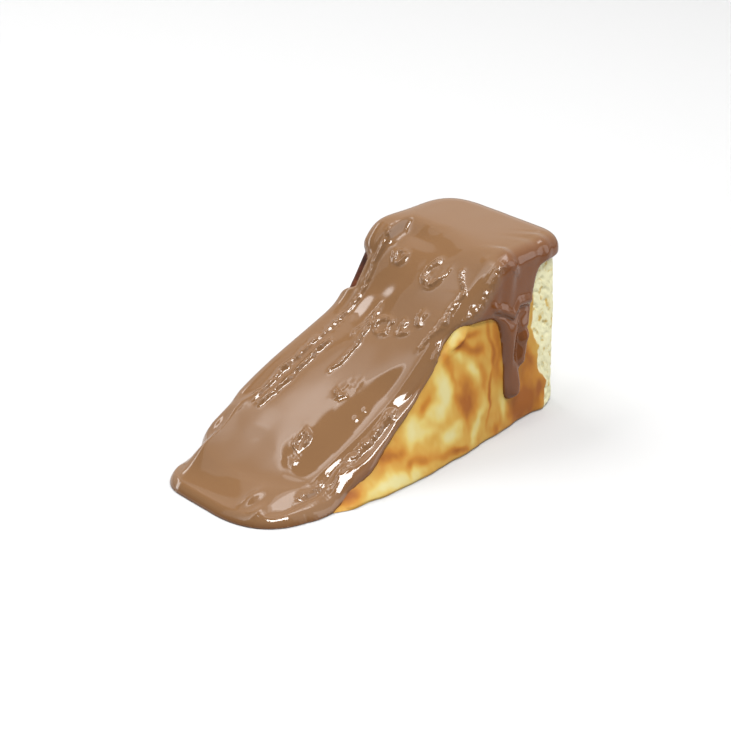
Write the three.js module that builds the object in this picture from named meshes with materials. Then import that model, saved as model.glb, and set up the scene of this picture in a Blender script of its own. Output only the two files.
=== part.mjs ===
// A slice of basque cheesecake under poured milk chocolate, in millimetres, +Z up.
//
// The slice lies on one of its cut faces. Its tip points along -X and its tall outer end stands
// at +X. The side at -Y is the marbled underside of the cake, and the one at +Y its dark baked
// top. The chocolate covers the upper cut face, hangs over the sides in drips, and runs out
// past the tip as a flat toe on the table. The origin is on the table under the middle.

import * as THREE from 'three';
import { mergeVertices } from 'three/addons/utils/BufferGeometryUtils.js';

// Driving dimensions

// Corners of the slice's outline, from the right of the tip and counter-clockwise. Each one is
// rounded over a length of cut along both its sides.
const footCorners = [
	{ x: - 50.5, y: - 25.0, cut: 20 },
	{ x: 53.4, y: - 24.6, cut: 8 },
	{ x: 49.5, y: 18.5, cut: 12 },
	{ x: - 51.5, y: 15.8, cut: 8 },
];
const shoulderCorners = [
	{ x: - 49.0, y: - 21.0, cut: 17 },
	{ x: 55.6, y: - 20.6, cut: 8 },
	{ x: 50.8, y: 18.8, cut: 12 },
	{ x: - 50.5, y: 15.4, cut: 8 },
];
const swell = { by: 4.6, from: - 42, to: 50 };	// the underside bulges out above the table
const wallCurve = 1.25;	// how late the wall draws in from foot to shoulder

// The upper face falls from the rim to the tip in a few soft bends. Past each one, towards the
// tip, it gets steeper by that slope. The two edges differ, so the face is twisted.
const right = {
	y: - 21, rim: 47.2,
	bends: [
		{ at: 30, slope: 1.1, soft: 1.6 },
		{ at: 21, slope: - 0.4, soft: 2 },
		{ at: 9, slope: 0.28, soft: 2 },
		{ at: - 1, slope: - 0.38, soft: 3 },
		{ at: - 17, slope: - 0.2, soft: 3 },
	],
};
const left = {
	y: 14.5, rim: 49.6,
	bends: [
		{ at: 20, slope: 1.5, soft: 1.8 },
		{ at: 7, slope: - 1.14, soft: 1.8 },
		{ at: - 26, slope: 0.2, soft: 4 },
	],
};
const tipHeight = 2.6;
const tipSoft = 1;
const shoulderRadius = 2.2;
const roundShare = 0.6;	// of the height, where the slice is too low for that radius
const capInset = 4.2;	// from the shoulder to the ring where the upper face begins

// The chocolate
const coat = 2.3;
const gap = 0.5;	// between the two solids
const skirt = { right: 1.2, left: 3.2, back: 6 };	// how far it hangs below the shoulder
const curtains = [	// stretches of the right side where it hangs down to an even lower edge
	{ from: 12, to: 39.5, edge: 33 },
	{ from: - 44, to: - 20, edge: 3 },
];
const curtainSoft = 1;
const endSkirt = 2.5;	// where the side turns the tall outer end's corner
const drips = [
	{ side: 'right', at: 32, half: 2.9, hang: 38 },
	{ side: 'right', at: 37, half: 3, hang: 27 },
	{ side: 'left', at: 38, half: 2.8, hang: 17 },
	{ side: 'left', at: 29, half: 3.2, hang: 9 },
	{ side: 'left', at: - 14, half: 4, hang: 6 },
	{ side: 'back', at: 4, half: 3.4, hang: 19 },
	{ side: 'back', at: - 8, half: 3.8, hang: 11 },
	{ side: 'left', at: 13, half: 5, hang: 0.4 },	// bare baked crust shows here
];
const toe = { spread: 7, side: 2.2, right: - 39, left: - 45, soft: 1.6 };	// the run-out past the tip
const lipHeight = 1.1;
const lipLength = 0.6;	// the least that is left for the lip past the shoulder
const nudge = 0.1;	// along a column, to find which way its surface faces

// Columns of facets round the outline
const columnsAlong = 48;
const columnsAcross = 12;
const crowding = 0.42;	// the columns stand closer towards the tall end, where the drips are
const shoulderRows = 3;
const wallRows = 4;
const underRows = 3;

// The middle of the whole outline, which the origin is put under
const middle = { x: - 0.7, y: - 4.4 };

const { clamp, lerp, smoothstep } = THREE.MathUtils;

// A ramp that is 0 below zero and rises one to one above it, with a soft bend between
function softRamp( t, soft ) {

	return t > 30 * soft ? t : soft * Math.log1p( Math.exp( t / soft ) );

}

function edgeHeight( edge, x ) {

	return edge.bends.reduce( ( z, bend ) => z - bend.slope * softRamp( bend.at - x, bend.soft ), edge.rim );

}

// Height of the upper face over a point of the plan
function faceHeight( x, y ) {

	const across = clamp( ( y - right.y ) / ( left.y - right.y ), - 0.1, 1.15 );
	const z = lerp( edgeHeight( right, x ), edgeHeight( left, x ), across );
	return tipHeight + softRamp( z - tipHeight, tipSoft );

}

// A rounded corner of an outline, as a quadratic curve that is split in its middle
function roundCorner( corners, k ) {

	const toPoint = ( corner ) => new THREE.Vector2( corner.x, corner.y );
	const corner = toPoint( corners[ k ] );
	const before = toPoint( corners[ ( k + 3 ) % 4 ] );
	const after = toPoint( corners[ ( k + 1 ) % 4 ] );
	const cut = corners[ k ].cut;
	const start = corner.clone().add( before.sub( corner ).setLength( cut ) );
	const end = corner.clone().add( after.sub( corner ).setLength( cut ) );
	const entering = start.clone().lerp( corner, 0.5 );
	const leaving = corner.clone().lerp( end, 0.5 );
	const centre = entering.clone().lerp( leaving, 0.5 );
	return { start, entering, centre, leaving, end };

}

// One side of an outline, from the middle of its first corner to the middle of the next
function outlineSide( corners, k ) {

	const first = roundCorner( corners, k );
	const last = roundCorner( corners, ( k + 1 ) % 4 );
	const side = new THREE.CurvePath();
	side.add( new THREE.QuadraticBezierCurve( first.centre, first.leaving, first.end ) );
	side.add( new THREE.LineCurve( first.end, last.start ) );
	side.add( new THREE.QuadraticBezierCurve( last.start, last.entering, last.centre ) );
	return side;

}

function outlinePoints( corners ) {

	const counts = [ columnsAlong, columnsAcross, columnsAlong, columnsAcross ];
	return counts.flatMap( ( count, k ) => {

		const side = outlineSide( corners, k );
		return Array.from( { length: count }, ( _, i ) => {

			let t = i / count;
			if ( k === 0 ) t *= 1 + crowding * ( 1 - t );
			if ( k === 2 ) t = 1 - ( 1 - t ) * ( 1 + crowding * t );
			return side.getPoint( t );

		} );

	} );

}

// The columns: where each one stands at foot and shoulder, which way it faces and how high it is
function makeColumns() {

	const foot = outlinePoints( footCorners );
	const shoulder = outlinePoints( shoulderCorners );
	const count = shoulder.length;
	const peak = 4 / 27;	// of the bulge's curve

	return shoulder.map( ( point, i ) => {

		const before = shoulder[ ( i + count - 1 ) % count ];
		const after = shoulder[ ( i + 1 ) % count ];
		const out = new THREE.Vector2( after.y - before.y, before.x - after.x ).normalize();
		const along = clamp( ( foot[ i ].x - swell.from ) / ( swell.to - swell.from ), 0, 1 );
		if ( i < columnsAlong ) foot[ i ].y -= swell.by * along * ( 1 - along ) ** 2 / peak;
		const height = faceHeight( point.x, point.y );
		const round = Math.min( shoulderRadius, roundShare * height );
		const knee = round * ( Math.PI / 2 - 1 );	// where the rounded shoulder has become the wall
		const floor = knee + height - round;	// where the wall meets the table
		return { foot: foot[ i ], shoulder: point, out, height, round, knee, floor };

	} );

}

// The way that the chocolate flows down a column, run mm beyond the shoulder: over the rounded
// edge, down the wall and out on the table
function trail( column, run ) {

	const { foot, shoulder, out, height, round, knee, floor } = column;
	const onTable = Math.max( run - floor, 0 );
	const turn = clamp( ( run + round ) / round, 0, Math.PI / 2 );
	const drop = run < knee ? round * ( 1 - Math.cos( turn ) ) : height - Math.max( floor - run, 0 );
	const away = run < - round ? run : round * ( Math.sin( turn ) - 1 ) + onTable;
	const drawnIn = ( 1 - drop / height ) ** wallCurve;
	const { x, y } = foot.clone().lerp( shoulder, drawnIn ).addScaledVector( out, away );
	const inward = Math.min( away, 0 );
	const face = faceHeight( shoulder.x + out.x * inward, shoulder.y + out.y * inward );
	return new THREE.Vector3( x, y, Math.max( face - drop, 0 ) );

}

// A point that is lifted off the trail, at a right angle to it
function drape( column, run, lift ) {

	const { x, y } = column.out;
	const step = trail( column, run + nudge ).sub( trail( column, run - nudge ) );
	const turned = new THREE.Vector2( - step.z, step.x * x + step.y * y ).setLength( lift );
	return trail( column, run ).add( new THREE.Vector3( x * turned.x, y * turned.x, turned.y ) );

}

// How much a column belongs to a side, by the way it faces
function facing( column ) {

	return {
		right: clamp( - column.out.y, 0, 1 ) ** 2,
		left: clamp( column.out.y, 0, 1 ) ** 2,
		back: clamp( column.out.x, 0, 1 ) ** 2,
		front: clamp( - column.out.x, 0, 1 ) ** 2,
	};

}

// How far down each column the chocolate runs, measured from the shoulder
function reach( column ) {

	const { x, y } = column.shoulder;
	const share = facing( column );
	const hang = { ...skirt };
	for ( const { from, to, edge } of curtains ) {

		const within = smoothstep( x, from, from + 3 ) * ( 1 - smoothstep( x, to - 1, to + 1 ) );
		hang.right += within * softRamp( column.height - edge - skirt.right, curtainSoft );

	}

	hang.right = lerp( hang.right, endSkirt, smoothstep( x, curtains[ 0 ].to, curtains[ 0 ].to + 3 ) );
	for ( const drip of drips ) {

		const along = drip.side === 'back' ? y : x;
		const inside = Math.exp( - ( ( ( along - drip.at ) / drip.half ) ** 4 ) );
		hang[ drip.side ] = lerp( hang[ drip.side ], drip.hang, inside );

	}

	const walls = share.right * hang.right + share.left * hang.left + share.back * hang.back;
	const onWall = walls + share.front * skirt.left - column.round + column.knee;
	const end = y < 0 ? toe.right : toe.left;
	const onTable = 1 - smoothstep( x, end - 3 * toe.soft, end + 3 * toe.soft );
	const spread = lerp( toe.side, toe.spread, Math.sqrt( share.front ) );
	return lerp( Math.min( onWall, column.floor - lipHeight ), column.floor + spread, onTable );

}

// A closed block of facets whose side rows follow the rings, and whose two ends follow heights
function wrapBlock( rings, columns, topHeight, bottomHeight ) {

	const rows = rings.length - 1;
	const block = new THREE.BoxGeometry( 1, 1, 1, columnsAlong, columnsAcross, rows );
	block.deleteAttribute( 'normal' );
	block.deleteAttribute( 'uv' );
	const geometry = mergeVertices( block );
	const places = geometry.attributes.position;

	// The column at a place on the rim of the grid, which has columnsAlong by columnsAcross cells
	const columnAt = ( i, j ) => {

		if ( j === 0 ) return i;
		if ( i === columnsAlong ) return columnsAlong + j;
		if ( j === columnsAcross ) return 2 * columnsAlong + columnsAcross - i;
		return ( 2 * ( columnsAlong + columnsAcross ) - j ) % columns.length;

	};

	// A place inside the ring, blended from its four sides
	const fill = ( ring, i, j ) => {

		const [ u, v ] = [ i / columnsAlong, j / columnsAcross ];
		const at = ( a, b ) => ring[ columnAt( a, b ) ];
		const [ near, far ] = [ at( i, 0 ), at( i, columnsAcross ) ];
		const [ start, end ] = [ at( 0, j ), at( columnsAlong, j ) ];
		const corners = at( 0, 0 ).clone().lerp( at( columnsAlong, 0 ), u )
			.lerp( at( 0, columnsAcross ).clone().lerp( at( columnsAlong, columnsAcross ), u ), v );
		return near.clone().lerp( far, v ).add( start.clone().lerp( end, u ) ).sub( corners );

	};

	for ( let k = 0; k < places.count; k ++ ) {

		const i = Math.round( ( places.getX( k ) + 0.5 ) * columnsAlong );
		const j = Math.round( ( places.getY( k ) + 0.5 ) * columnsAcross );
		const row = Math.round( ( 0.5 - places.getZ( k ) ) * rows );
		const onRim = i === 0 || j === 0 || i === columnsAlong || j === columnsAcross;
		const place = onRim ? rings[ row ][ columnAt( i, j ) ] : fill( rings[ row ], i, j );
		if ( ! onRim ) place.z = ( row === 0 ? topHeight : bottomHeight )( place.x, place.y );
		places.setXYZ( k, place.x - middle.x, place.y - middle.y, place.z );

	}

	geometry.computeVertexNormals();
	return geometry;

}

// Stations along a column's run, from the upper face over the rounded shoulder to the wall, or
// only as far as stop
function shoulderStations( column, stop = column.knee ) {

	const share = ( stop + capInset ) / ( column.knee + capInset );
	const stations = [ - capInset ];
	for ( let k = 0; k <= shoulderRows; k ++ ) {

		const onArc = - column.round + ( column.knee + column.round ) * k / shoulderRows;
		stations.push( lerp( - capInset, onArc, share ) );

	}

	return stations;

}

function stepsBetween( start, end, count ) {

	return Array.from( { length: count }, ( _, k ) => lerp( start, end, ( k + 1 ) / count ) );

}

function toRings( columns, profileOf ) {

	const profiles = columns.map( profileOf );
	return profiles[ 0 ].map( ( _, row ) => profiles.map( ( profile ) => profile[ row ] ) );

}

function makeSlice( columns ) {

	const profileOf = ( column ) => [
		...shoulderStations( column ),
		...stepsBetween( column.knee, column.floor, wallRows ),
	].map( ( run ) => drape( column, run, 0 ) );

	const geometry = wrapBlock( toRings( columns, profileOf ), columns, faceHeight, () => 0 );
	const baked = new THREE.MeshStandardMaterial( { color: '#dcb866', roughness: 0.75, metalness: 0 } );
	const slice = new THREE.Mesh( geometry, baked );
	slice.name = 'cheesecake_slice';
	return slice;

}

// The chocolate's outline in one column: out over its upper skin, round the lip and back under it
function pourProfile( column ) {

	const end = reach( column );
	const knee = Math.min( column.knee, end - lipLength );
	const shoulder = shoulderStations( column, knee );
	const full = Math.max( lerp( knee, end, 0.5 ), end - coat );	// where the skin starts to round off
	const skin = [ ...shoulder, ...stepsBetween( knee, full, wallRows ) ].map( ( run ) => drape( column, run, coat ) );

	// Where it runs out on the table, its skin goes down in one even slope
	const onTable = smoothstep( end - column.floor, 0, toe.side );
	const first = skin[ 0 ];
	const last = skin.at( - 1 ).clone();
	skin.forEach( ( place, k ) => place.lerp( first.clone().lerp( last, k / ( skin.length - 1 ) ), onTable ) );

	const lip = [
		drape( column, lerp( full, end, 0.7 ), lerp( gap, coat, 0.75 ) ),
		drape( column, end, lerp( gap, coat, 0.3 ) ),
	];
	const under = [ end, ...stepsBetween( end, knee, underRows ), ...shoulder.slice( 0, - 1 ).reverse() ]
		.map( ( run ) => drape( column, run, run > column.floor ? 0 : gap ) );
	return [ ...skin, ...lip, ...under ];

}

function makeChocolate( columns ) {

	const rings = toRings( columns, pourProfile );
	const geometry = wrapBlock( rings, columns,
		( x, y ) => faceHeight( x, y ) + coat, ( x, y ) => faceHeight( x, y ) + gap );
	const milk = new THREE.MeshStandardMaterial( { color: '#a17652', roughness: 0.25, metalness: 0 } );
	const chocolate = new THREE.Mesh( geometry, milk );
	chocolate.name = 'milk_chocolate_pour';
	return chocolate;

}

const columns = makeColumns();
const cake = new THREE.Group();
cake.add( makeSlice( columns ), makeChocolate( columns ) );

export default cake;
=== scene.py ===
# A slice of basque cheesecake under poured milk chocolate. Every shape is worked out in
# millimetres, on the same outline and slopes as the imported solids, and turned to metres where
# its mesh is made.

import bpy
import numpy as np
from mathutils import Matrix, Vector


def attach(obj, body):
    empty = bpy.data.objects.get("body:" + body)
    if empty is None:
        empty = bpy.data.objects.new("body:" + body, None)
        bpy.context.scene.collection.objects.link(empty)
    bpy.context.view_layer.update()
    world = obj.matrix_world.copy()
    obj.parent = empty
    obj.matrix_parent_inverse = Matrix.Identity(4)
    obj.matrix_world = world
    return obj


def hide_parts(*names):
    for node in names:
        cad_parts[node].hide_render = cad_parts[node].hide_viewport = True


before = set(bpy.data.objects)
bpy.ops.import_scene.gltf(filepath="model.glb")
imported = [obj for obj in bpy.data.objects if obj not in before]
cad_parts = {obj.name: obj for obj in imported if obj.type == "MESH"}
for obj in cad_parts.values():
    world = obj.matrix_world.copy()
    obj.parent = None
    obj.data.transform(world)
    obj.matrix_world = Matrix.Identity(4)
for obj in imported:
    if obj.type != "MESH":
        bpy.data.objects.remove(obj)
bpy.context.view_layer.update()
mm = 0.001

# Where the camera stands: it looks at a point inside the slice, from the marbled side's tip end
view = {
    "target": (0.7, 4.4, 20),
    "azimuth": -43,
    "elevation": 27,
    "distance": 466.5,
    "lens": 85,
    "sensor": 36,
}

form = {
    # corners of the outline: x, y, and the length that its rounding takes off both sides
    "foot": [(-50.5, -25.0, 20), (53.4, -24.6, 8), (49.5, 18.5, 12), (-51.5, 15.8, 8)],
    "shoulder": [(-49.0, -21.0, 17), (55.6, -20.6, 8), (50.8, 18.8, 12), (-50.5, 15.4, 8)],
    "middle": (-0.7, -4.4),  # the point of the outline that the origin is put under
    "swell": {"by": 4.6, "start": -42, "end": 50},  # the underside bulges out above the table
    "wallCurve": 1.25,
    # each edge of the upper face falls from its rim, with more slope past every bend
    "rightEdge": {
        "y": -21,
        "rim": 47.2,
        "bends": [(30, 1.1, 1.6), (21, -0.4, 2), (9, 0.28, 2), (-1, -0.38, 3), (-17, -0.2, 3)],
    },
    "leftEdge": {
        "y": 14.5,
        "rim": 49.6,
        "bends": [(20, 1.5, 1.8), (7, -1.14, 1.8), (-26, 0.2, 4)],
    },
    "acrossLimits": (-0.1, 1.15),  # how far past the two edges the straight line goes on
    "tipHeight": 2.6,
    "tipSoft": 1,
    "shoulderRadius": 2.2,
    "roundShare": 0.6,
    "capInset": 4.2,
    "spine": ((-32, -2.6), (36, -1.0)),  # the upper face's grid closes on this line
    "bendSteps": 40,  # from each end of a rounded corner to its middle
    "columnsAlong": 264,
    "columnsAcross": 104,
}


def smoothStep(t, low, high):
    # From 0 at low to 1 at high: three times the square less twice the cube of the way gone
    t = np.clip((t - low) / (high - low), 0, 1)
    return t * t * (3 - 2 * t)


def softRamp(t, soft):
    # 0 below zero and one to one above it, with a soft bend between
    return soft * np.logaddexp(0, t / soft)


def mix(a, b, share):
    # A share of the way from a to b
    return a + (b - a) * share


def cloud(points, size, seed):
    # Smooth random values from -1 to 1, with blotches size mm across: the corners of a cubic
    # lattice get random values, and each point blends the eight corners round it
    lattice = np.random.default_rng(seed).uniform(-1, 1, (32, 32, 32))
    place = points / size
    cell = np.floor(place).astype(int)
    t = place - cell
    t = t * t * (3 - 2 * t)
    total = np.zeros(points.shape[:-1])
    for corner in np.ndindex(2, 2, 2):
        i, j, k = np.moveaxis((cell + corner) % 32, -1, 0)
        total += lattice[i, j, k] * np.where(corner, t, 1 - t).prod(-1)
    return total


def clouds(points, layers, start=0.0):
    # Clouds added up, each with its height, size and seed
    total = start
    for height, size, seed in layers:
        total = total + height * cloud(points, size, seed)
    return total


def drawnOut(points, share):
    # Places for a cloud whose blotches are drawn out in height, to their size over the share
    return points * np.array([1, 1, share])


def turned(x, y, degrees):
    # The parts of a place along and across a direction that is turned by some degrees
    c, s = np.cos(np.radians(degrees)), np.sin(np.radians(degrees))
    return x * c + y * s, y * c - x * s


def alongShare(x, line, soft):
    # 1 between the ends of a line's x, fading out over soft mm to either side of each end
    before = smoothStep(x, line[0] - soft, line[0] + soft)
    return before * (1 - smoothStep(x, line[-1] - soft, line[-1] + soft))


def towardsTip(x, span):
    # From 0 to 1 over a span of x that runs towards the tip
    return smoothStep(-x, -span[0], -span[1])


def alongLine(x, line, soft=1.5):
    # The height of a line through given points, averaged over a short stretch to round its bends
    return np.mean([np.interp(x + share * soft, *line) for share in (-1, -0.5, 0, 0.5, 1)], axis=0)


def edgeHeight(edge, x):
    # The rim's height, less each bend's slope times how far x lies past it towards the tip
    z = np.full(np.shape(x), float(edge["rim"]))
    for at, slope, soft in edge["bends"]:
        z -= slope * softRamp(at - x, soft)
    return z


def faceHeight(x, y):
    # The upper face: a straight line across, from the right edge's height to the left edge's
    right, left = form["rightEdge"], form["leftEdge"]
    across = np.clip((y - right["y"]) / (left["y"] - right["y"]), *form["acrossLimits"])
    z = mix(edgeHeight(right, x), edgeHeight(left, x), across)
    return form["tipHeight"] + softRamp(z - form["tipHeight"], form["tipSoft"])


def outline(corners):
    # Four sides with even steps along each, from the middle of one rounded corner to the middle
    # of the next. A rounded corner is a quadratic curve.
    places = np.array([corner[:2] for corner in corners], float)
    half = form["bendSteps"]
    bends = []
    for k, corner in enumerate(corners):
        toPrevious = places[k - 1] - places[k]
        toNext = places[(k + 1) % 4] - places[k]
        start = places[k] + toPrevious / np.linalg.norm(toPrevious) * corner[2]
        end = places[k] + toNext / np.linalg.norm(toNext) * corner[2]
        t = np.linspace(0, 1, 2 * half + 1)[:, None]
        bends.append((1 - t) ** 2 * start + 2 * t * (1 - t) * places[k] + t**2 * end)
    sides = []
    for k in range(4):
        side = np.concatenate([bends[k][half:], bends[(k + 1) % 4][:half + 1]])
        lengths = np.linalg.norm(np.diff(side, axis=0), axis=1)
        run = np.concatenate([[0], np.cumsum(lengths)])
        count = form["columnsAcross"] if k % 2 else form["columnsAlong"]
        steps = np.arange(count) / count * run[-1]
        sides.append(np.stack([np.interp(steps, run, side[:, axis]) for axis in (0, 1)], -1))
    return np.concatenate(sides)


def makeColumns():
    # One column for each step round the outline: where it stands at foot and shoulder, which
    # way it faces, and how high it is
    foot = outline(form["foot"])
    shoulder = outline(form["shoulder"])
    step = np.roll(shoulder, -1, axis=0) - np.roll(shoulder, 1, axis=0)
    out = np.stack([step[:, 1], -step[:, 0]], -1)
    out /= np.linalg.norm(out, axis=1, keepdims=True)
    swell = form["swell"]
    along = np.clip((foot[:, 0] - swell["start"]) / (swell["end"] - swell["start"]), 0, 1)
    bulge = along * (1 - along) ** 2 / (4 / 27)  # 1 where it is highest
    onRight = np.arange(len(foot)) < form["columnsAlong"]
    foot[:, 1] -= onRight * swell["by"] * bulge
    height = faceHeight(shoulder[:, 0], shoulder[:, 1])
    rounding = np.minimum(form["shoulderRadius"], form["roundShare"] * height)
    knee = rounding * (np.pi / 2 - 1)
    lengths = np.linalg.norm(np.roll(shoulder, -1, axis=0) - shoulder, axis=1)
    return {
        "foot": foot,
        "shoulder": shoulder,
        "out": out,
        "height": height,
        "rounding": rounding,
        "knee": knee,  # how far past the shoulder the rounded edge has become the wall
        "floor": knee + height - rounding,  # how far the wall meets the table
        "round": np.concatenate([[0], np.cumsum(lengths)[:-1]]),  # way gone round the outline
    }


columns = makeColumns()
columnCount = len(columns["height"])


def trail(run):
    # The way down a column, run mm past the shoulder: level on the upper face, a quarter turn
    # over the rounded edge, down the wall, and out on the table
    rounding, height, out = columns["rounding"], columns["height"], columns["out"]
    turn = np.clip((run + rounding) / rounding, 0, np.pi / 2)
    onWall = height - np.maximum(columns["floor"] - run, 0)
    drop = np.where(run < columns["knee"], rounding * (1 - np.cos(turn)), onWall)
    onTable = np.maximum(run - columns["floor"], 0)
    away = np.where(run < -rounding, run, rounding * (np.sin(turn) - 1) + onTable)
    drawnIn = np.clip(1 - drop / height, 0, 1)[..., None] ** form["wallCurve"]
    plan = mix(columns["foot"], columns["shoulder"], drawnIn) + out * away[..., None]
    above = columns["shoulder"] + out * np.minimum(away, 0)[..., None]
    z = np.maximum(faceHeight(above[..., 0], above[..., 1]) - drop, 0)
    return np.concatenate([plan, z[..., None]], axis=-1)


def drape(run, lift):
    # The trail, lifted at a right angle to the way it runs
    nudge = 0.1  # between the two places that give its direction
    step = trail(run + nudge) - trail(run - nudge)
    outward = (step[..., :2] * columns["out"]).sum(-1)
    lifted = np.stack([-step[..., 2], outward], -1)
    lifted *= (lift / np.maximum(np.linalg.norm(lifted, axis=-1), 1e-6))[..., None]
    places = trail(run)
    places[..., :2] += columns["out"] * lifted[..., :1]
    places[..., 2] += lifted[..., 1]
    return places


def spineOrder():
    # Which point of the spine each column starts from. Columns on the two long sides share them.
    along, across = form["columnsAlong"], form["columnsAcross"]
    sides = [np.arange(along), np.full(across, along), np.arange(along, 0, -1), np.zeros(across)]
    return np.concatenate(sides).astype(int)


def spinePlaces():
    # Even steps along a straight line inside the upper face, one for each column
    start, end = np.array(form["spine"], float)
    return mix(start, end, (spineOrder() / form["columnsAlong"])[:, None])


def planRows(rowShares):
    # Rows over the upper face, from the spine (share 0) to the ring where the edge begins (1)
    inset = trail(np.full((1, columnCount), -form["capInset"]))[0, :, :2]
    return mix(spinePlaces(), inset, np.asarray(rowShares)[:, None, None])


def onFace(plan):
    # The places of a plan, on the upper face
    return np.concatenate([plan, faceHeight(plan[..., 0], plan[..., 1])[..., None]], -1)


def gridFaces(rows):
    # Triangles between neighbouring rows of columns, facing out where the rows go outwards
    row, column = np.meshgrid(np.arange(rows - 1), np.arange(columnCount), indexing="ij")
    after = (column + 1) % columnCount
    a, b = row * columnCount + column, (row + 1) * columnCount + column
    c, d = (row + 1) * columnCount + after, row * columnCount + after
    return np.stack([np.stack([a, b, c], -1), np.stack([a, c, d], -1)], 2).reshape(-1, 3)


def sew(points, faces, spineRows):
    # Joins what the columns share on each row in spineRows, and drops what no face uses
    index = np.arange(len(points))
    order = spineOrder()
    firsts = np.array([np.argmax(order == k) for k in range(order.max() + 1)])
    for start in spineRows:
        index[start:start + columnCount] = start + firsts[order]
    faces = index[faces]
    apart = (faces != np.roll(faces, 1, axis=1)).all(1)
    used, faces = np.unique(faces[apart], return_inverse=True)
    return used, faces.reshape(-1, 3)


def addMesh(name, points, faces, material, values=None):
    # points are in millimetres, in the outline's own frame; values are per point
    mesh = bpy.data.meshes.new(name)
    places = (points - [*form["middle"], 0]) * mm
    mesh.from_pydata(places.tolist(), [], faces.tolist())
    mesh.update()
    mesh.polygons.foreach_set("use_smooth", np.ones(len(mesh.polygons), bool))
    for key, value in (values or {}).items():
        marks = mesh.attributes.new(key, "FLOAT", "POINT")
        marks.data.foreach_set("value", value.astype(np.float32))
    mesh.materials.append(material)
    piece = bpy.data.objects.new(name, mesh)
    bpy.context.collection.objects.link(piece)
    print(name, len(mesh.polygons), "triangles")
    return piece


def sideShares():
    # How much each column belongs to a side, by the way it faces
    outX, outY = columns["out"].T
    return {
        "right": np.clip(-outY, 0, 1) ** 2,
        "left": np.clip(outY, 0, 1) ** 2,
        "back": np.clip(outX, 0, 1) ** 2,
        "front": np.clip(-outX, 0, 1) ** 2,
    }


shares = sideShares()


def linear(hexColour):
    # sRGB hex to linear
    value = np.array([int(hexColour[k:k + 2], 16) for k in (1, 3, 5)]) / 255
    low = value <= 0.04045
    return (*np.where(low, value / 12.92, ((value + 0.055) / 1.055) ** 2.4), 1.0)


def newMaterial(name):
    material = bpy.data.materials.new(name)
    material.use_nodes = True
    tree = material.node_tree
    return material, tree, tree.nodes["Principled BSDF"]


def addNode(tree, kind, settings=None, values=None, links=None):
    # A node with its settings, its sockets' values, and links from other nodes' sockets
    node = tree.nodes.new(kind)
    for key, value in (settings or {}).items():
        setattr(node, key, value)
    for key, value in (values or {}).items():
        node.inputs[key].default_value = value
    for key, socket in (links or {}).items():
        tree.links.new(socket, node.inputs[key])
    return node


def setRamp(node, stops):
    ramp = node.color_ramp
    while len(ramp.elements) < len(stops):
        ramp.elements.new(0.5)
    for element, (place, colour) in zip(ramp.elements, stops):
        element.position = place
        element.color = linear(colour)
    return node


# The poured milk chocolate

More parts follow.
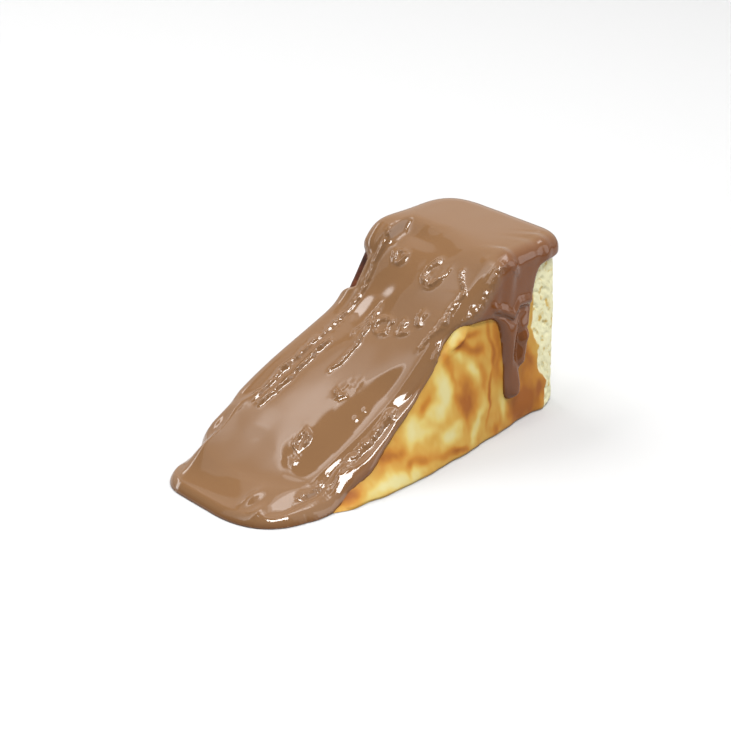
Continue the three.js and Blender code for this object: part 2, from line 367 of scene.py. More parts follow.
pour = {
    "coat": {"top": 2.3, "right": 1.5, "left": 1.8, "back": 1.3, "front": 2.2},
    # where its lower edge lies on the marbled side: x, then height. Below 0 it is out on the
    # table.
    "rightEdge": (
        (-60, -40, -35, -28, -20, -10, -5, 0, 5, 8, 11, 15, 26, 39, 41, 44, 60),
        (-2.6, -1.6, 0.3, 3, 5.2, 12, 15.4, 19.6, 24.2, 27.6, 31.2, 33.6, 33.6, 33.4, 37, 43, 44.6),
    ),
    # how far it hangs past the shoulder of the left side. It leaves the dark crust bare twice.
    "leftHang": (
        (-60, -50, -47, -34, -30, -24, 4, 8.6, 9.8, 15.2, 16.4, 20, 60),
        (3, 3, 1.6, 1.0, 2.4, 3.2, 3.4, 2.6, -2.6, -2.6, 2.2, 3.2, 3.2),
    ),
    "backHang": 5,
    "highest": -2.4,  # its edge comes no nearer to the middle of the face than this
    # the run-out on the table: how far it goes past the tip and at the left, the x over which it
    # begins on either side, the height of its rim, the width of the rim's edge and how round that
    # is, how thin it ends, and how much closer its rows lie at the rim
    "toe": {
        "spread": 7, "left": 2.4, "fromRight": (-26, -38), "fromLeft": (-40, -49),
        "rim": 2.3, "edge": 2.53, "round": 0.6, "thinnest": 0.06, "closer": 0.5,
    },
    # side, place along it, half width at the root and near the end, how far it hangs, and how far
    # it leans for each mm down
    "drips": [
        ("right", 32.0, 4.6, 2.2, 38, 0.02),
        ("right", 37.2, 4.3, 1.7, 29.5, -0.14),
        ("left", 38, 3.4, 2.2, 17, 0),
        ("left", 29, 3.6, 2.4, 9, 0.05),
        ("left", -14, 4.2, 3, 6, 0),
        ("back", 4, 3.6, 2.3, 19, 0.04),
        ("back", -8, 3.8, 2.6, 11, -0.04),
    ],
    "plump": 1.0,  # how much thicker a drip is than the coat
    "join": 1.2,  # how softly drips run into the skirt
    "narrowing": 6,  # the length over which a drip loses its wide root
    # above its end a drip swells by a share of its half width, over so many mm up and down
    "bulb": {"share": 0.25, "over": 3},
    "longEnd": 1.2,  # how much longer than wide the round end of a drip is
    "sway": 0.3,  # how far a drip wanders to each side
    # folds in the curtain by the drips: points x, points height, half width, and how deep
    "folds": [
        ((25, 28.5, 32, 34.6, 40), (34.8, 33.4, 31.2, 34, 33.4), 0.6, -0.6),
        ((25, 28.5, 32, 34.6, 40), (36.6, 35.2, 33, 35.6, 35.2), 1.3, 0.7),
        ((34, 36, 39.6), (27, 28, 28.2), 0.55, -0.5),
        ((34, 36, 39.6), (24.8, 26, 26.2), 1.2, 0.6),
        ((35, 36, 38.4), (20.4, 21.4, 22.6), 0.55, -0.45),
    ],
    # the flutes down the curtain: how deep, wide and long they are, their lean, the x over which
    # they begin, and their seed
    "flutes": {"deep": 0.55, "wide": 2.8, "long": 4, "lean": 0.3, "from": (24, 28), "seed": 36},
    "step": 0.4,  # between rows on the wall
    "rowsBelow": 3,  # how far the rows go on past the longest drip
    "capRows": 50,
    "tuckedIn": 0.5,  # its hidden edge ends this deep in the cake
    "gap": 0.2,  # its inner wall lies this much deeper than that
    "clear": 0.15,  # its rows on the wall stop this high above the table
    # the relief of the upper face goes on over the shoulder, and fades over this way down
    "reliefEnds": (1, 5),
    "edgeSmooth": 1.5,  # and comes in over this depth inside its edge
    # what hangs on a side is painted darker from here on, as painted shade, and from further up
    # where the curtain is, over a span of x
    "paintedShadeFrom": {"run": (-1, 3.5), "earlier": 3, "curtain": (25, 33)},
    # the cake under it lies this much lower, out of sight: from just inside the shoulder inwards,
    # and down to a little below it under the toe
    "sunk": {"by": 2.4, "inside": (1, 3.8), "underToe": (0.5, 4)},
}


def skirtRun():
    # How far the chocolate runs down each column before any drip
    x = columns["shoulder"][:, 0]
    toe, floor = pour["toe"], columns["floor"]
    past = columns["knee"] - columns["rounding"]
    right = floor - alongLine(x, pour["rightEdge"])
    onTable = towardsTip(x, toe["fromLeft"])
    left = mix(alongLine(x, pour["leftHang"], 0.8) + past, floor + toe["left"], onTable)
    sides = shares["right"] * right + shares["left"] * left
    ends = shares["back"] * (pour["backHang"] + past) + shares["front"] * (floor + toe["spread"])
    return np.maximum(sides + ends, pour["highest"])


def toeShare():
    # How far each column belongs to the run-out on the table
    x, y = columns["shoulder"].T
    right, left = (towardsTip(x, pour["toe"][key]) for key in ("fromRight", "fromLeft"))
    return np.where(y < 0, right, left)


def findRound(side, at):
    # The way gone round the outline to a place on one side
    axis = 1 if side == "back" else 0
    off = np.abs(columns["shoulder"][:, axis] - at) + 100 * (shares[side] < 0.5)
    return columns["round"][off.argmin()]


def insideEdge(run, skirtEnd):
    # How deep a place lies inside the chocolate's outline on the wall: the depth inside the
    # skirt, softly joined with that inside each drip, a strip with a round end. Also how far it
    # belongs to the plump middle of a drip.
    slope = np.clip(np.gradient(skirtEnd, columns["round"]), -3, 3)
    inside = (skirtEnd - run) / np.sqrt(1 + slope**2)
    join, bulb, longEnd = pour["join"], pour["bulb"], pour["longEnd"]
    narrowing = pour["narrowing"]
    plump = np.zeros_like(inside)
    for side, at, root, tip, hang, lean in pour["drips"]:
        end = hang + columns["knee"] - columns["rounding"]
        below = np.maximum(run - skirtEnd, 0)
        swollen = bulb["share"] * tip * np.exp(-(((run - end + 2 * tip) / bulb["over"]) ** 2))
        half = mix(tip, root, np.exp(-below / narrowing)) + swollen
        sway = pour["sway"] * np.sin(run / narrowing + at) + lean * below
        sideways = columns["round"] - findRound(side, at) - sway
        beyond = np.maximum(run - (end - longEnd * tip), 0) / longEnd
        depth = half - np.hypot(sideways, beyond)
        inside = join * np.logaddexp(inside / join, depth / join)
        plump = np.maximum(plump, smoothStep(depth, 0, 2) * smoothStep(below, 0, narrowing))
    return inside, plump


def bead(depth, radius):
    # A round edge: a quarter circle's height at a depth inside it, and steeply down outside
    inside = np.clip(depth / radius, 0, 1)
    return np.where(depth > 0, radius * np.sqrt(1 - (1 - inside) ** 2), 3 * depth)


# The relief of the poured face, in mm
pour["flow"] = {
    # Two crests run down it. Over the trough's the left part falls away, over the bank's the
    # right.
    "trough": (
        (-58, -37, -33, -29, -8, 0, 7, 13, 17, 22, 29),
        (18, 15, 10.3, 6.2, 4.5, 2, 1.2, -3, -4.7, -8.8, -9),
    ),
    "bank": (
        (-58, -46, -39, -36, -31, -25, -8, 4.5, 13, 32),
        (-20, -14, -10, -4.6, -4.7, -8, -8, -14.7, -17.2, -19.7),
    ),
    # slopes left of the trough's line, between, and right of the bank's line before and after a
    # span of x, how soft the crests are, how wide a rim is left level along either edge, and the
    # spans of x over which all this comes in and goes out
    "fall": {
        "left": 0.26, "between": 0.05, "right": (0.1, 0.31), "changes": (-12, 4),
        "crest": (0.8, 1.2), "rims": (1.2, 3), "in": (-58, -40), "out": (24, 33),
    },
    # raised lines: points x, points y, half width, height
    "ridges": [
        ((-31, -20, -8, 2), (10.6, 11.8, 12.1, 11.6), 1.0, 1.1),
        ((0, 4, 14, 22), (11.8, 11.4, 12.2, 13.2), 0.8, 1.0),
        ((-31, -20, -6), (7.8, 7.7, 7.9), 0.9, 1.0),
        ((-41, -30, -20, -8), (-19.2, -19.6, -19.4, -19.1), 0.8, 0.6),
        ((6, 16, 22, 30, 37), (-19.2, -20.2, -20.4, -19.9, -21.5), 0.6, 0.35),
        ((5, 10, 13, 15, 20, 23), (-15.1, -16.2, -16.6, -15.6, -16, -12.6), 0.7, 0.6),
        ((-12, -4, 3), (0.6, 0.4, 0.9), 0.6, 0.4),
    ],
    # rings left by burst bubbles: middle x, y, radius along, across, turn in degrees, width and
    # height
    "rings": [
        (18.7, 6.5, 1.6, 1.9, 0, 0.7, 0.6),
        (19.6, -6.6, 3.1, 2.2, -20, 0.7, 0.5),
        (4.2, -2.2, 2.0, 2.4, 0, 0.7, 0.5),
        (7.8, -8.6, 3.0, 1.6, -30, 0.6, 0.45),
        (-31, -8.5, 3.2, 1.6, 24, 0.6, 0.35),
        (-12.5, -6, 2.4, 1.2, -16, 0.6, 0.4),
        (2.5, 2.6, 2.8, 0.7, 0, 0.6, 0.4),
    ],
    # small lumps: middle x, y, radius along, across, height
    "lumps": [
        (-50, -11.2, 3.6, 1.6, 0.9), (-52.5, -16, 3.6, 1.5, 0.8),
        (-16, -13.4, 0.7, 0.7, 0.25), (-13, -13.6, 0.6, 0.6, 0.2),
    ],
    # random changes, each with its height, size and seed: of the crests' places, of the height
    # along a line (1 is even), of a line's place, of a ring's, inside rings, and all over
    "wander": {"x": [(1.8, 6, 37)], "y": [(0.9, 7, 1)]},
    "uneven": {"least": 0.8, "layers": [(0.45, 2.2, 3), (0.35, 1.1, 2)]},
    "lineWander": [(0.45, 3, 4)],
    "ringWander": [(0.35, 1.5, 6), (0.7, 4, 31)],
    "crinkle": [(0.25, 0.9, 9)],
    "swells": [(0.16, 10, 5), (0.03, 4.5, 8)],
    "gaps": {"size": 2.6, "seed": 33, "over": (-0.5, 0.1)},  # where rings are broken
}


def crestRise(x, y):
    # An even rise from the right edge to the bank, a gentle one to the trough's crest, and an even
    # fall beyond, set level with the face on the whole, and faded at its edges
    flow = pour["flow"]
    fall = flow["fall"]
    rightY, leftY = form["rightEdge"]["y"], form["leftEdge"]["y"]
    leftSoft, rightSoft = fall["crest"]
    trough, bank = alongLine(x, flow["trough"]), alongLine(x, flow["bank"])
    steep = mix(*fall["right"], smoothStep(x, *fall["changes"]))

    def height(atY):
        overLeft = softRamp(atY - trough, leftSoft)
        overRight = softRamp(bank - atY, rightSoft)
        return fall["between"] * atY - fall["left"] * overLeft - steep * overRight

    level = (height(rightY) + height(np.minimum(trough, leftY))) / 2
    rightRim, leftRim = fall["rims"]
    whole = smoothStep(x, *fall["in"]) * (1 - smoothStep(x, *fall["out"]))
    whole = whole * smoothStep(y, rightY - 0.5, rightY + rightRim)
    whole = whole * smoothStep(-y, -leftY, leftRim - leftY)
    return whole * (height(y) - level)


def flowRelief(x, y):
    # Every ridge and ring is a bell-shaped rise across its line, uneven along it. Also how much of
    # each place is such a line, where the sauce is crinkled.
    flow = pour["flow"]
    points = np.stack([x, y, np.zeros_like(x)], -1)
    uneven = clouds(points, flow["uneven"]["layers"], flow["uneven"]["least"])
    wanderX, wanderY = clouds(points, flow["wander"]["x"]), clouds(points, flow["wander"]["y"])
    rise = crestRise(x + wanderX, y + wanderY)
    crinkled = np.zeros_like(x)
    lineWander = clouds(points, flow["lineWander"])
    for lineX, lineY, width, height in flow["ridges"]:
        off = (y - np.interp(x, lineX, lineY) - lineWander) / width
        line = alongShare(x, lineX, 2) * np.exp(-(off**2))
        rise += height * line * uneven
        crinkled = np.maximum(crinkled, line)
    ringWander, crinkle = clouds(points, flow["ringWander"]), clouds(points, flow["crinkle"])
    gaps = flow["gaps"]
    broken = smoothStep(cloud(points, gaps["size"], gaps["seed"]), *gaps["over"])
    for atX, atY, along, across, turn, width, height in flow["rings"]:
        u, v = turned(x - atX, y - atY, turn)
        u, v = u / along, v / across
        off = (np.hypot(u, v) - 1) * min(along, across) / width + ringWander
        line = np.exp(-(off**2)) * broken
        rise += height * (line * uneven + np.exp(-0.7 * (u * u + v * v)) * crinkle)
        crinkled = np.maximum(crinkled, line)
    for atX, atY, along, across, height in flow["lumps"]:
        lump = np.exp(-(((x - atX) / along) ** 2) - ((y - atY) / across) ** 2)
        rise += height * lump
    alongFlow = points * np.array([0.5, 1, 1])  # the swells are twice as long as wide
    return clouds(alongFlow, flow["swells"], rise), crinkled


def sinking(run):
    # How much lower the cake is made under the chocolate
    sunk = pour["sunk"]
    inner = smoothStep(-run, *sunk["inside"])
    return sunk["by"] * np.maximum(inner, toeShare() * (1 - smoothStep(run, *sunk["underToe"])))


def foldRelief(x, z):
    # Creases and their raised lips across the curtain on the right, and flutes down it
    rise = np.zeros_like(x)
    for lineX, lineZ, width, height in pour["folds"]:
        off = (z - np.interp(x, lineX, lineZ)) / width
        rise += height * alongShare(x, lineX, 1) * np.exp(-(off**2))
    flutes = pour["flutes"]
    places = np.stack([x - flutes["lean"] * z, 0 * x, z / flutes["long"]], -1)
    fluted = flutes["deep"] * cloud(places, flutes["wide"], flutes["seed"])
    return (rise + fluted * smoothStep(x, *flutes["from"])) * shares["right"]


def tableSkin(run, skirtEnd, onTable, ring):
    # The skin out on the table. From the ring where the edge begins it leaves the upper face's
    # slope for a level rim with a round edge. Its rows end on the rim, and lie closer together by
    # it. Also how far each place is from the rim, and how crinkled.
    toe = pour["toe"]
    length = skirtEnd + form["capInset"]
    wholeRows = np.ceil(length / pour["step"]) * pour["step"]
    left = np.clip(1 - (run + form["capInset"]) / wholeRows, 0, 1) ** (1 + toe["closer"] * onTable)
    gone, toRim = 1 - left, left * length
    rim = drape(skirtEnd[None], np.zeros((1, columnCount)))[0]
    skin = mix(ring, rim, gone[..., None])
    face = faceHeight(skin[..., 0], skin[..., 1]) + pour["coat"]["top"]
    level = mix(face, toe["rim"], gone**2 * (3 - 2 * gone))
    inEdge = np.clip(toRim / toe["edge"], 0, 1)
    edge = mix(np.sin(np.pi / 2 * inEdge), np.sqrt(1 - (1 - inEdge) ** 2), toe["round"])
    relief, crinkled = flowRelief(skin[..., 0], skin[..., 1])
    relief = relief * smoothStep(toRim, 0.5, 4)
    skin[..., 2] = np.maximum(level * edge + relief, toe["thinnest"])
    return skin, toRim, crinkled * smoothStep(toRim, 2, 5)


def capSkin(rowShares, ring):
    # The skin over the upper face, from the spine to the ring that the wall starts with. Its lift
    # is the coat and the relief, and goes over to the ring's with the sixth power of the way out.
    plan = planRows(rowShares)
    relief, crinkled = flowRelief(plan[..., 0], plan[..., 1])
    lift = np.zeros(plan.shape[:2] + (3,))
    lift[..., 2] = pour["coat"]["top"] + relief
    ringLift = ring - trail(np.full((1, columnCount), -form["capInset"]))[0]
    return onFace(plan) + mix(lift, ringLift, rowShares[:, None, None] ** 6), crinkled


def closeSkin(cap, wall, innerCap, inner, inside):
    # Joins the skin, as far as it lies inside the outline, with the inner wall behind it by a
    # strip along their edges
    outer = np.concatenate([cap, wall]).reshape(-1, 3)
    pairs = []
    for top, below in ((cap, wall), (innerCap, inner)):
        depth = np.concatenate([np.full(top.shape[:2], np.inf), inside]).ravel()
        faces = gridFaces(len(top) + len(below))
        pairs.append(faces[(depth[faces] > -0.1).any(1)])
    kept, innerKept = pairs
    innerKept = innerKept[:, ::-1] + len(outer)

    edges = np.concatenate([kept[:, [0, 1]], kept[:, [1, 2]], kept[:, [2, 0]]])
    keys = edges.min(1) * len(outer) + edges.max(1)
    _, where, count = np.unique(keys, return_index=True, return_counts=True)
    a, b = edges[where[count == 1]].T
    a, b = a[a >= columnCount], b[a >= columnCount]
    skip = len(outer) - (len(cap) - len(innerCap)) * columnCount
    strip = np.concatenate([np.stack([b, a, a + skip], -1), np.stack([b, a + skip, b + skip], -1)])
    points = np.concatenate([outer, innerCap.reshape(-1, 3), inner.reshape(-1, 3)])
    used, faces = sew(points, np.concatenate([kept, innerKept, strip]), [0, len(outer)])
    return points, used, faces


def makeChocolate(material):
    # The skin is the draped trail lifted by the chocolate's thickness, with a round edge at its
    # outline. Past the outline it tucks into the cake, where an inner wall closes it.
    coat, skirtEnd, onTable = pour["coat"], skirtRun(), toeShare()
    stop = max(hang for *_, hang, _ in pour["drips"]) + pour["rowsBelow"]
    run = np.arange(-form["capInset"], stop, pour["step"])[:, None] + np.zeros(columnCount)
    inside, plump = insideEdge(run, skirtEnd)
    wallCoat = sum(coat[side] * shares[side] for side in shares)
    thickest = mix(coat["top"], wallCoat, smoothStep(run, -form["capInset"], 2))
    thick = np.maximum(bead(inside, thickest + pour["plump"] * plump), -pour["tuckedIn"])
    flat = drape(run, np.zeros_like(run))
    fade = 1 - smoothStep(run, *pour["reliefEnds"])
    relief, crinkled = flowRelief(flat[..., 0], flat[..., 1])
    relief = relief * fade + foldRelief(flat[..., 0], flat[..., 2])
    thick += relief * smoothStep(inside, 0, pour["edgeSmooth"])
    aboveTable = np.minimum(run, columns["floor"] - pour["clear"])
    wall = drape(aboveTable, thick)
    wall[..., 2] = np.maximum(wall[..., 2], 0)

    spread, toRim, spreadCrinkled = tableSkin(run, skirtEnd, onTable, wall[0])
    wall = mix(wall, spread, onTable[:, None])
    crinkled = mix(crinkled * fade, spreadCrinkled, onTable)
    thick = mix(thick, coat["top"] * smoothStep(toRim, -0.6, 2.6), onTable)
    inside = np.where((toRim < 0.001) & (onTable > 0.5), -1, inside)  # no faces past the rim

    rowShares = np.linspace(0, 1, pour["capRows"] + 1)[:-1]
    cap, capCrinkled = capSkin(rowShares, wall[0])
    deep = -pour["tuckedIn"] - pour["gap"] - sinking(run)
    inner = drape(aboveTable, deep)
    inner = mix(inner, drape(np.minimum(run, skirtEnd), deep), onTable[:, None])
    inner[..., 2] = np.maximum(inner[..., 2], 0)
    innerCap = onFace(planRows(rowShares[::10]))
    innerCap[..., 2] -= pour["sunk"]["by"] + pour["tuckedIn"] + pour["gap"]
    points, used, faces = closeSkin(cap, wall, innerCap, inner, inside)

    # what the material needs at each point: the skin's thickness, how far it hangs on a side and is
    # painted darker there as painted shade, and how crinkled it is. All are 0 on the inner wall.
    dark = pour["paintedShadeFrom"]
    onCurtain = smoothStep(columns["shoulder"][:, 0], *dark["curtain"]) * shares["right"]
    # the share of each point that is painted darker as shade on the hanging sides
    hangingShade = smoothStep(run + dark["earlier"] * onCurtain, *dark["run"]) * (1 - onTable)
    onCap = np.ones(cap.shape[:2])
    values = {}
    for key, capValue, wallValue in (
        ("thickness", coat["top"] * onCap, np.clip(thick, 0, None)),
        ("hangingShade", 0 * onCap, hangingShade),
        ("crinkled", capCrinkled, crinkled),
    ):
        skin = np.concatenate([capValue, wallValue]).ravel()
        values[key] = np.concatenate([skin, np.zeros(len(points) - len(skin))])[used]
    return addMesh("pouredChocolate", points[used], faces, material, values)


def milkChocolate():
    # Milk chocolate poured warm: smooth and wet, so its gloss is sharp. Thin edges are warmer and
    # painted darker, partly painted shade along the steep rims, and what hangs down the sides is
    # painted darker, as painted shade.
    material, tree, shader = newMaterial("milkChocolatePoured")
    shader.inputs["Roughness"].default_value = 0.05
    shader.inputs["IOR"].default_value = 1.47
    marks = {}
    for key in ("thickness", "hangingShade", "crinkled"):
        marks[key] = addNode(tree, "ShaderNodeAttribute", {"attribute_name": key})
    # thinner chocolate is darker and warmer: partly the warm tone of thin chocolate, partly painted
    # shade along the steep rims
    thin = addNode(tree, "ShaderNodeValToRGB", links={"Fac": marks["thickness"].outputs["Fac"]})
    setRamp(thin, [(0, "#5f391d"), (0.4, "#704f32"), (1, "#745539")])
    # what hangs down the sides takes a darker colour: painted shade
    colour = addNode(
        tree, "ShaderNodeMix", {"data_type": "RGBA"}, {7: linear("#653a1b")},
        {0: marks["hangingShade"].outputs["Fac"], 6: thin.outputs["Color"]},
    )
    # small crinkles 1.5 mm across along the raised lines, where the skin of the sauce is drawn up
    place = addNode(tree, "ShaderNodeTexCoord")
    grain = addNode(
        tree, "ShaderNodeTexNoise", values={"Scale": 650, "Detail": 0.5},
        links={"Vector": place.outputs["Object"]},
    )
    height = addNode(
        tree, "ShaderNodeMath", {"operation": "MULTIPLY"},
        links={0: grain.outputs["Fac"], 1: marks["crinkled"].outputs["Fac"]},
    )
    bump = addNode(
        tree, "ShaderNodeBump", values={"Strength": 1, "Distance": 0.0006},
        links={"Height": height.outputs[0]},
    )
    tree.links.new(bump.outputs["Normal"], shader.inputs["Normal"])
    tree.links.new(colour.outputs[2], shader.inputs["Base Color"])
    return material


# The baked cheesecake

cake = {
    "wallRows": 96,
    "capShares": (0, 0.2, 0.4, 0.6, 0.8, 0.93),
    "bottomShares": (0.97, 0.9, 0.75, 0.5, 0.25, 0),
    "edgeRows": 7,
    "crumbFrom": ((0, 8, 13, 20, 26, 33, 50), (45, 47, 43, 43.5, 41, 42.5, 41)),  # z, then x
    # browned (+) and pale (-) patches of the marbled side, one of them a painted shadow under the
    # flake: x, z, half length, half height, turn, strength
    "patches": [
        (6.8, 19.5, 2.3, 5.4, -6, -0.42), (3.2, 14.4, 4.2, 2.2, 32, -0.36),
        (-5, 12.3, 4, 1.9, 30, -0.36), (-4.2, 9.4, 4.4, 1.6, 8, -0.34),
        (5.4, 7.2, 3.2, 2.5, 12, -0.4), (17, 21.8, 2.1, 3.2, 28, -0.34),
        (12.4, 26.4, 1.3, 2.2, 50, -0.2), (17.2, 8, 1.4, 4.6, -30, -0.32),
        (14, 4.4, 1.3, 3.4, -24, -0.2), (27.6, 7.6, 1.5, 4.2, 8, -0.36),
        (-16, 1.8, 11, 1.3, 3, -0.4), (-17.5, 3.6, 3, 1.2, 10, -0.2),
        (18.6, 31, 3.2, 1.2, 0, 0.26), (9.5, 9.2, 2, 1.2, 0, -0.2), (29.5, 4, 1, 3.4, 0, -0.12),
        # the second patch below, a browned strip just under the flake, is a painted shadow
        (13.2, 30.7, 3.6, 1.1, 30, -0.4), (14.4, 28.9, 3.8, 0.7, 30, 0.3),
        (-30, 2.2, 3, 1.8, 10, 0.5), (-14.6, 7.2, 4.2, 1.8, 16, 0.42),
        (-0.8, 15.6, 3.6, 0.9, 44, 0.34), (-10.6, 3.4, 1.9, 0.9, 48, 0.3),
        (-6, 4.5, 4.6, 1.4, -6, 0.26), (1.8, 2.4, 3.2, 1.1, -16, 0.26),
        (8, 1.8, 3.6, 1.2, -8, 0.42), (13.6, 14.2, 3.2, 5.4, 0, 0.42),
        (12.4, 11.6, 2.4, 2.2, 0, 0.14), (9.3, 23.4, 0.9, 6.4, 4, 0.26),
        (15.8, 27.8, 5.4, 1.3, -16, 0.36), (20.8, 26.8, 1.9, 1.6, 0, 0.24),
        (20.6, 19.6, 1.3, 4.4, 14, 0.24), (24.7, 26, 0.7, 7.4, 5, 0.34),
        (22.8, 13.4, 0.7, 7.6, -13, 0.42), (27, 24.6, 1.3, 8, 0, 0.4),
        (24.2, 2.4, 2.2, 2.8, 0, 0.22), (36.6, 4.8, 8, 5.6, 0, 0.52),
        (36.4, 14.6, 4.4, 5.6, 0, 0.3), (39.8, 18, 1.5, 5.6, 20, 0.24),
        (44.4, 7.4, 2.2, 2, 0, 0.34), (33.4, 9.6, 1, 6, 0, 0.12),
    ],
    "paleness": 0.46,  # how browned it is between the patches
    "contrast": 1.2,  # how strongly the patches count
    # random changes, each with its height, size and seed: of the patches' places, of the edges of
    # crumb and crust, and of the whole surface
    "wander": {"x": [(1.1, 5, 13), (0.5, 2, 14)], "z": [(1.1, 5, 15), (0.5, 2, 16)]},
    "rough": [(1.2, 3.2, 11), (0.6, 1.3, 12)],
    "waves": [(0.35, 9, 25), (0.12, 3, 26)],
    "burntTo": 47.5,  # the baked top ends at this x, and the crumb begins
    "pores": 0.45,  # how deep the crumb's pores are
    "crumbIn": 0.25,  # the cut crumb lies this much further in than the skin
    "blisters": 0.9,  # how high those of the baked top are
    "foot": {"in": 0.5, "uneven": 0.45},  # drawn in where it stands, and its waves
    # hidden under the chocolate at the left: the share of the relief that is taken away, and how
    # far out the surface lies by the toe
    "under": {"share": 0.85, "toe": -1.2},
    "flake": {"at": (13.2, 30.6), "half": (3.6, 1.1), "turn": 30, "rise": 1.9},
}


def markedSides(points):
    # Values for the materials at each point: how browned the marbled side is, with a painted shadow
    # under the flake, how much of the surface is crumb and how much is the dark baked top
    x, z = points[..., 0], points[..., 2]
    rough = clouds(points, cake["rough"])
    wanderX, wanderZ = (clouds(points, cake["wander"][axis]) for axis in "xz")
    browningAndShadow = np.full(x.shape, cake["paleness"])
    for atX, atZ, along, up, turn, strength in cake["patches"]:
        u, v = turned(x - atX + wanderX, z - atZ + wanderZ, turn)
        u, v = u / along, v / up
        browningAndShadow += cake["contrast"] * strength * np.exp(-((u * u + v * v) ** 1.1))
    streaks = cloud(drawnOut(points, 0.15), 1.6, 17) * smoothStep(x, 5, 25)
    veins = 1 - np.abs(cloud(drawnOut(points, 0.7), 4.6, 27)) * 3
    fine = 0.05 * cloud(points, 2.2, 18) + 0.05 * cloud(drawnOut(points, 0.5), 0.9, 29)
    browningAndShadow += fine + 0.1 * streaks + 0.05 * np.clip(veins, 0, 1)

    outX, outY = np.broadcast_to(columns["out"].T[:, None, :], (2,) + x.shape)
    crumbX = np.interp(z, *cake["crumbFrom"])
    skin = smoothStep(crumbX + 0.5 * rough - x, -0.2, 0.2) * (outY < -0.3)
    burnt = smoothStep(outY, 0.05, 0.2) * smoothStep(cake["burntTo"] + rough - x, -0.3, 0.3)
    burnt = np.maximum(burnt, smoothStep(-outX, 0.3, 0.6))
    return np.clip(browningAndShadow, 0, 1), 1 - np.maximum(skin, burnt), burnt * (1 - skin)


def flakeRise(x, z):
    # A flake of the baked skin that stands out under the chocolate's edge: an ellipse with a
    # flat top, steep at its lower side
    flake = cake["flake"]
    u, v = turned(x - flake["at"][0], z - flake["at"][1], flake["turn"])
    u, v = u / flake["half"][0], v / flake["half"][1]
    return flake["rise"] * np.exp(-((u * u + v * v) ** 3)) * shares["right"]


def makeCake(material):
    # One closed surface: from the spine over the upper face, down every column and back under it
    knee, floor = columns["knee"], columns["floor"]
    edge = np.linspace(-form["capInset"], 0, cake["edgeRows"])[:-1, None] + 0 * knee
    over = mix(0 * knee, knee, np.linspace(0, 1, 4)[:-1, None])
    down = mix(knee, floor, np.linspace(0, 1, cake["wallRows"])[:, None])
    run = np.concatenate([edge, over, down])
    wall = trail(run)
    wall[..., 2] -= np.minimum(sinking(run), wall[..., 2] / 2)
    browningAndShadow, crumb, burnt = markedSides(wall)

    # pores in the crumb, blisters on the baked top, and slow waves all over
    foot, low = cake["foot"], wall[..., 2]
    pores = smoothStep(cloud(wall, 1.1, 21), 0.15, 0.7)
    pores += 0.7 * smoothStep(cloud(wall, 0.6, 22), 0.2, 0.8)
    blister = 1.1 * np.abs(cloud(wall, 4.6, 23)) + 0.5 * np.abs(cloud(wall, 1.6, 24))
    rise = clouds(wall, cake["waves"]) - cake["pores"] * pores * crumb
    rise += cake["blisters"] * (blister - 0.4) * burnt - cake["crumbIn"] * crumb
    rise -= foot["in"] * (1 - smoothStep(low, 0, 1)) ** 2
    rise += foot["uneven"] * cloud(drawnOut(wall, 0.2), 5, 28) * (1 - smoothStep(low, 0, 6))
    rise += flakeRise(wall[..., 0], low)
    covered = smoothStep(skirtRun() - run, -1, 1.2) * smoothStep(wall[..., 1], 0, 4)
    rise = mix(rise, cake["under"]["toe"] * toeShare(), cake["under"]["share"] * covered)
    rise *= smoothStep(run, 0, 3)
    wall[..., :2] += columns["out"] * rise[..., None]

    cap = onFace(planRows(cake["capShares"]))
    cap[..., 2] -= np.minimum(pour["sunk"]["by"], cap[..., 2] / 2)
    under = mix(spinePlaces(), wall[-1, :, :2], np.array(cake["bottomShares"])[:, None, None])
    bottom = np.concatenate([under, np.zeros(under.shape[:2] + (1,))], -1)

    points = np.concatenate([cap, wall, bottom]).reshape(-1, 3)
    rows = len(cap) + len(wall) + len(bottom)
    used, faces = sew(points, gridFaces(rows), [0, len(points) - columnCount])
    values = {}
    for key, value, inside in (("browningAndShadow", browningAndShadow, 0.3), ("crumb", crumb, 1), ("burnt", burnt, 0)):
        ends = [np.full(cap.shape[:2], inside), value, np.full(bottom.shape[:2], inside)]
        values[key] = np.concatenate(ends).ravel()[used]
    return addMesh("bakedCake", points[used], faces, material, values)


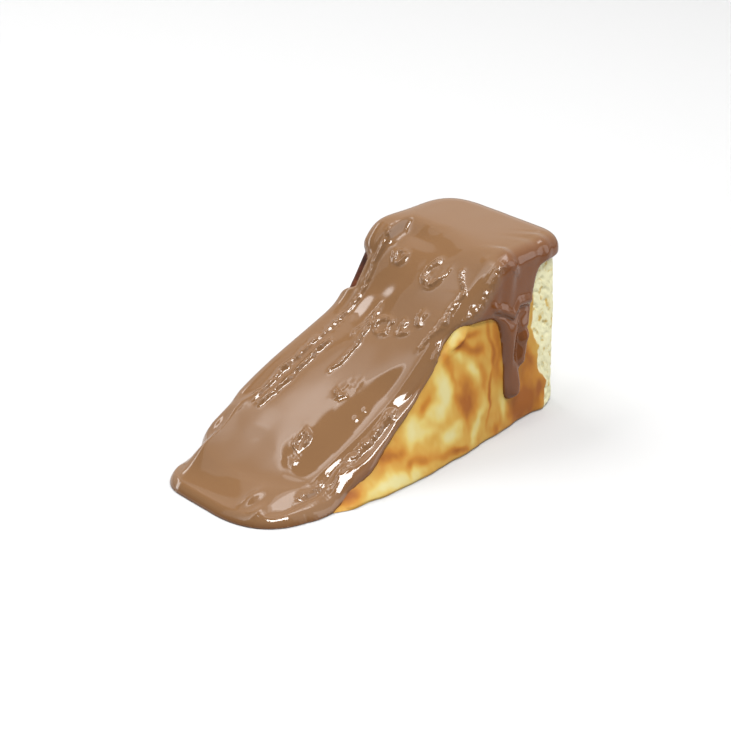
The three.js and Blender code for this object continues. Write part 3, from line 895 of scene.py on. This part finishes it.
def bakedCheesecake():
    # Baked cream cheese custard: matt and dense. Its colour goes from pale yellow to brown.
    material, tree, shader = newMaterial("bakedCheesecakeCustard")
    shader.inputs["Roughness"].default_value = 0.55
    shader.inputs["IOR"].default_value = 1.45
    shader.inputs["Specular IOR Level"].default_value = 0.25
    marks = {}
    for key in ("browningAndShadow", "crumb", "burnt"):
        marks[key] = addNode(tree, "ShaderNodeAttribute", {"attribute_name": key})
    place = addNode(tree, "ShaderNodeTexCoord")
    skin = addNode(tree, "ShaderNodeValToRGB", links={"Fac": marks["browningAndShadow"].outputs["Fac"]})
    setRamp(skin, [
        (0, "#bab07c"), (0.22, "#b9a35c"), (0.42, "#b18b3e"), (0.68, "#a66e24"), (1, "#8a4e16"),
    ])
    flecks = addNode(
        tree, "ShaderNodeTexNoise", values={"Scale": 420, "Detail": 3},
        links={"Vector": place.outputs["Object"]},
    )
    crumb = addNode(tree, "ShaderNodeValToRGB", links={"Fac": flecks.outputs["Fac"]})
    setRamp(crumb, [(0.3, "#b2944a"), (0.42, "#ccc8a2"), (1, "#d4d1b2")])
    scorch = addNode(
        tree, "ShaderNodeTexNoise", values={"Scale": 130, "Detail": 5, "Roughness": 0.62},
        links={"Vector": place.outputs["Object"]},
    )
    char = addNode(tree, "ShaderNodeValToRGB", links={"Fac": scorch.outputs["Fac"]})
    setRamp(char, [(0.33, "#1c0d08"), (0.48, "#3c1c0f"), (0.6, "#5f2f17"), (0.75, "#824a24")])
    colour = skin.outputs["Color"]
    for key, ramp in (("crumb", crumb), ("burnt", char)):
        mixed = addNode(
            tree, "ShaderNodeMix", {"data_type": "RGBA"},
            links={0: marks[key].outputs["Fac"], 6: colour, 7: ramp.outputs["Color"]},
        )
        colour = mixed.outputs[2]
    tree.links.new(colour, shader.inputs["Base Color"])
    return material


# Studio

studio = {
    "floor": {"size": 6000, "below": 0.2, "grey": 0.488, "roughness": 0.9},
    "key": {"at": (-165, -345, 900), "size": (420, 240), "watts": 8.6},
    "back": {"at": (-60, 600, 850), "size": (700, 400), "watts": 6.5},
    # Light from the sky by the direction it comes from, in parts of its x and y (from, to), its
    # strength and how softly it ends: a broad strip along the slice just behind its middle, three
    # bright pieces of its front edge, a bright line far behind, a box by the tall end with a
    # brighter middle, white walls past the tall end and behind, a fill from the camera's side and
    # a card low at the right in front
    "cards": [
        ((-0.79, 0.1), (0.05, 0.51), 0.7, 0.02),
        ((-0.79, -0.05), (0.05, 0.08), 1.9, 0.26),
        ((-0.24, 0.04), (0.05, 0.09), 2.4, 0.08),
        ((-0.7, -0.1), (0.02, 0.05), 5, 0.01),
        ((-0.75, 0.0), (0.77, 0.82), 6, 0.03),
        ((0.17, 0.46), (-0.12, 0.16), 2, 0.06),
        ((0.2, 0.4), (-0.1, 0.08), 4, 0.02),
        ((0.1, 2), (-2, 2), 0.72, 0.03),
        ((-2, 0.1), (0.74, 2), 0.7, 0.04),
        ((-2, -0.25), (-2, -0.3), 0.15, 0.1),
        ((0.3, 0.75), (-0.9, -0.5), 1.8, 0.05),
    ],
    "cardStart": 0.02,  # a card begins this softly
    "horizon": 0.1,  # cards fade out from this part of z down to the horizon
    "dark": 0.12,
}


def makeFloor():
    paper = studio["floor"]
    half, z = paper["size"] / 2 * mm, -paper["below"] * mm
    mesh = bpy.data.meshes.new("floor")
    mesh.from_pydata(
        [(-half, -half, z), (half, -half, z), (half, half, z), (-half, half, z)],
        [], [(0, 1, 2, 3)],
    )
    floor = bpy.data.objects.new("floor", mesh)
    bpy.context.collection.objects.link(floor)
    material, _, shader = newMaterial("mattePaper")
    grey = paper["grey"]
    shader.inputs["Base Color"].default_value = (grey, grey, grey, 1)
    shader.inputs["Roughness"].default_value = paper["roughness"]
    shader.inputs["Specular IOR Level"].default_value = 0
    mesh.materials.append(material)


def makeSky():
    world = bpy.data.worlds.new("studio")
    bpy.context.scene.world = world
    world.use_nodes = True
    tree = world.node_tree
    smooth = {"interpolation_type": "SMOOTHSTEP"}
    times, plus = {"operation": "MULTIPLY"}, {"operation": "ADD"}
    way = addNode(tree, "ShaderNodeTexCoord")
    parts = addNode(tree, "ShaderNodeSeparateXYZ", links={0: way.outputs["Generated"]})
    light = addNode(tree, "ShaderNodeValue")
    light.outputs[0].default_value = studio["dark"]
    rise = studio["cardStart"]
    for *spans, strength, soft in studio["cards"]:
        # no card reaches below the horizon
        limits = {"From Min": 0, "From Max": studio["horizon"], "To Max": strength}
        glow = addNode(tree, "ShaderNodeMapRange", smooth, limits, {"Value": parts.outputs["Z"]})
        for axis, (low, high) in zip("XY", spans):
            for start, end in ((low - rise, low + rise), (high + soft, high)):
                limits = {"From Min": start, "From Max": end}
                links = {"Value": parts.outputs[axis]}
                edge = addNode(tree, "ShaderNodeMapRange", smooth, limits, links)
                links = {0: glow.outputs[0], 1: edge.outputs[0]}
                glow = addNode(tree, "ShaderNodeMath", times, links=links)
        links = {0: light.outputs[0], 1: glow.outputs[0]}
        light = addNode(tree, "ShaderNodeMath", plus, links=links)
    tree.links.new(light.outputs[0], tree.nodes["Background"].inputs["Strength"])
    tree.nodes["Background"].inputs["Color"].default_value = (1, 1, 1, 1)


def makeLamps():
    # A bright box over the camera's side draws sharp lines in the gloss. A broad one from behind
    # doesn't show in the gloss, and throws the shadow towards the camera.
    for name in ("key", "back"):
        box = studio[name]
        light = bpy.data.lights.new(name + "Softbox", "AREA")
        light.shape = "RECTANGLE"
        light.size, light.size_y = (side * mm for side in box["size"])
        light.energy = box["watts"]
        lamp = bpy.data.objects.new(name + "Softbox", light)
        place = Vector(box["at"]) * mm
        lamp.location = place
        lamp.rotation_euler = place.to_track_quat("Z", "Y").to_euler()
        lamp.visible_glossy = name == "key"
        bpy.context.collection.objects.link(lamp)


def makeCamera():
    azimuth, elevation = np.radians(view["azimuth"]), np.radians(view["elevation"])
    back = Vector((
        np.sin(azimuth) * np.cos(elevation),
        -np.cos(azimuth) * np.cos(elevation),
        np.sin(elevation),
    ))
    data = bpy.data.cameras.new("camera")
    data.lens = view["lens"]
    data.sensor_width = view["sensor"]
    camera = bpy.data.objects.new("camera", data)
    camera.location = (Vector(view["target"]) + back * view["distance"]) * mm
    camera.rotation_euler = (-back).to_track_quat("-Z", "Y").to_euler()
    bpy.context.collection.objects.link(camera)
    bpy.context.scene.camera = camera


makeCamera()
print("camera placed")
chocolate = makeChocolate(milkChocolate())
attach(chocolate, "root")
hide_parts("milk_chocolate_pour")
print("chocolate poured")
cakeSlice = makeCake(bakedCheesecake())
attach(cakeSlice, "root")
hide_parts("cheesecake_slice")
print("cake baked")
makeFloor()
makeSky()
makeLamps()
bpy.context.scene.view_settings.view_transform = "Standard"
print("studio lit")
